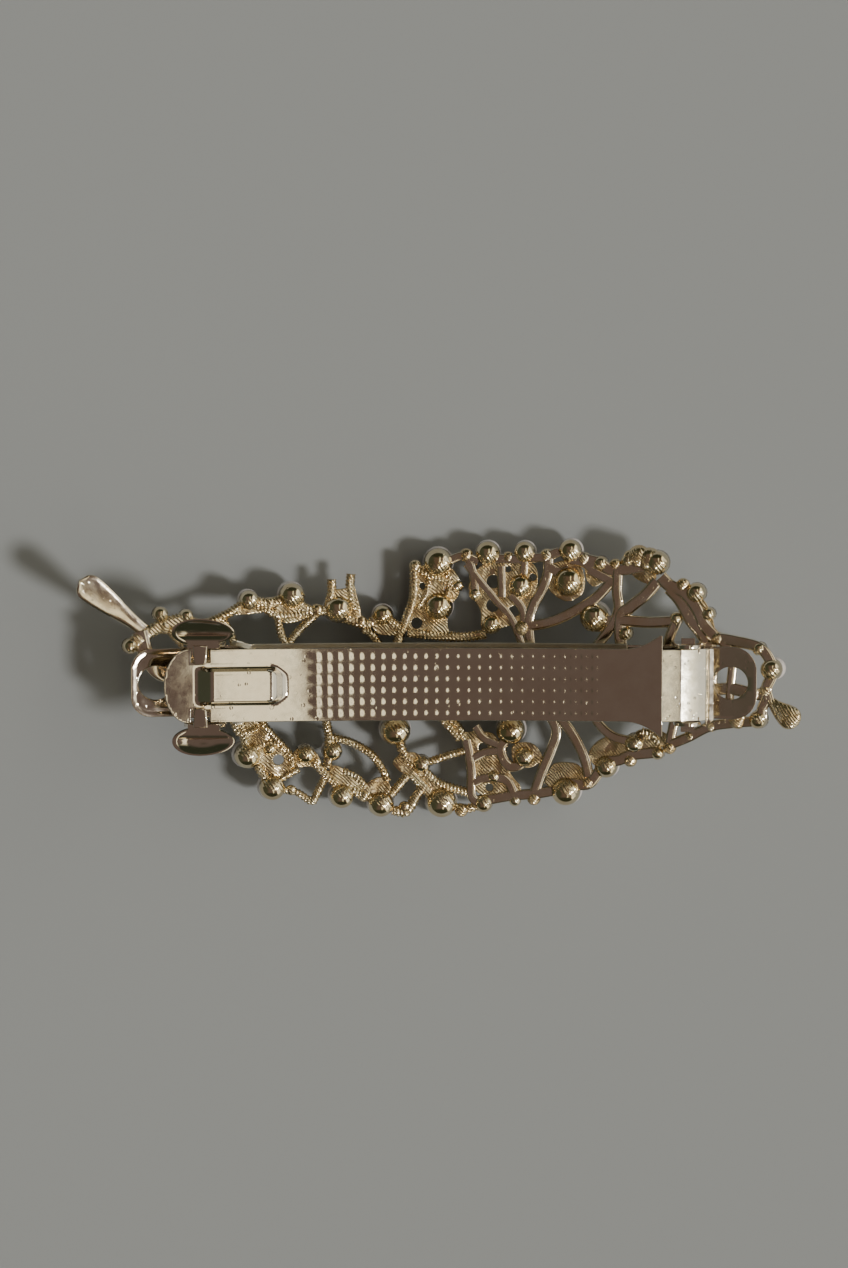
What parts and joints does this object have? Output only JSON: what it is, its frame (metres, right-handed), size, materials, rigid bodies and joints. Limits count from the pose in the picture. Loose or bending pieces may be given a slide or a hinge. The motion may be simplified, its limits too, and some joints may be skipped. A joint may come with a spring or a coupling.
{
  "type": "barrette",
  "caption": "Leaf-shaped hair barrette: openwork gold casting set with pearls and crystals, hinged spring clip with squeeze catch on its back.",
  "frame": {"origin": "middle of the object's footprint, at the lowest stones that it lies on", "axes": "+X along the clip from the catch to the hinge, +Z from the stones up to the clip"},
  "size_m": [0.0928, 0.0366, 0.0166],
  "materials": {
    "clip_gold": "pale champagne-gold plating, mirror-bright with fine pits",
    "leaf_gold": "gold-plated cast metal, bright on the domes and textured on the ribs",
    "spring_gold": "gold-plated spring strip, satin",
    "solder": "dull solder",
    "pearl": "imitation pearl, soft sheen",
    "crystal": "cut clear glass"
  },
  "bodies": {
    "base": {"base_plate": "clip_gold", "crystal_01": "crystal", "crystal_02": "crystal", "crystal_03": "crystal", "crystal_04": "crystal", "crystal_05": "crystal", "crystal_06": "crystal", "crystal_07": "crystal", "crystal_08": "crystal", "crystal_09": "crystal", "crystal_10": "crystal", "crystal_11": "crystal", "crystal_12": "crystal", "crystal_13": "crystal", "crystal_14": "crystal", "crystal_seeds": "crystal", "leaf_frame": "leaf_gold", "pearl_edge_01": "pearl", "pearl_edge_02": "pearl", "pearl_edge_03": "pearl", "pearl_edge_04": "pearl", "pearl_edge_05": "pearl", "pearl_edge_06": "pearl", "pearl_edge_07": "pearl", "pearl_edge_08": "pearl", "pearl_edge_09": "pearl", "pearl_edge_10": "pearl", "pearl_edge_11": "pearl", "pearl_edge_12": "pearl", "pearl_edge_13": "pearl", "pearl_edge_14": "pearl", "pearl_edge_15": "pearl", "pearl_inner_01": "pearl", "pearl_inner_02": "pearl", "pearl_inner_03": "pearl", "pearl_inner_04": "pearl", "pearl_inner_05": "pearl", "pearl_inner_06": "pearl", "pearl_vein_01": "pearl", "pearl_vein_02": "pearl", "pearl_vein_03": "pearl", "pearl_vein_04": "pearl", "pearl_vein_05": "pearl", "pearl_vein_06": "pearl", "pearl_vein_07": "pearl", "pearl_vein_08": "pearl", "pearl_vein_09": "pearl", "pearl_vein_10": "pearl", "pearl_vein_11": "pearl", "pearl_vein_12": "pearl", "solder_left": "solder", "solder_middle": "solder", "solder_right": "solder"},
    "arm": {"clasp_arm": "clip_gold"},
    "spring": {"tension_spring": "spring_gold"},
    "latch_upper": {"latch_ear_upper": "clip_gold"},
    "latch_lower": {"latch_ear_lower": "clip_gold"}
  },
  "joints": [
    {"name": "arm_hinge", "type": "hinge", "parent": "base", "child": "arm", "pos_m": [0.0315, 0, 0.0134], "axis": [0, 1, 0], "range_deg": [0, 95]},
    {"name": "spring_lift", "type": "hinge", "parent": "base", "child": "spring", "pos_m": [0.0255, 0, 0.00871], "axis": [0, 1, 0], "range_deg": [0, 5]},
    {"name": "latch_upper_flex", "type": "hinge", "parent": "base", "child": "latch_upper", "pos_m": [-0.03, 0.00505, 0.00898], "axis": [-1, 0, 0], "range_deg": [0, 8], "stiffness_Nm_per_rad": 0.02},
    {"name": "latch_lower_flex", "type": "hinge", "parent": "base", "child": "latch_lower", "pos_m": [-0.03, -0.00505, 0.00898], "axis": [1, 0, 0], "range_deg": [0, 8], "stiffness_Nm_per_rad": 0.02}
  ],
  "couplings": [
    {"joint": "spring_lift", "follows": "arm_hinge", "ratio": 0.05}
  ]
}
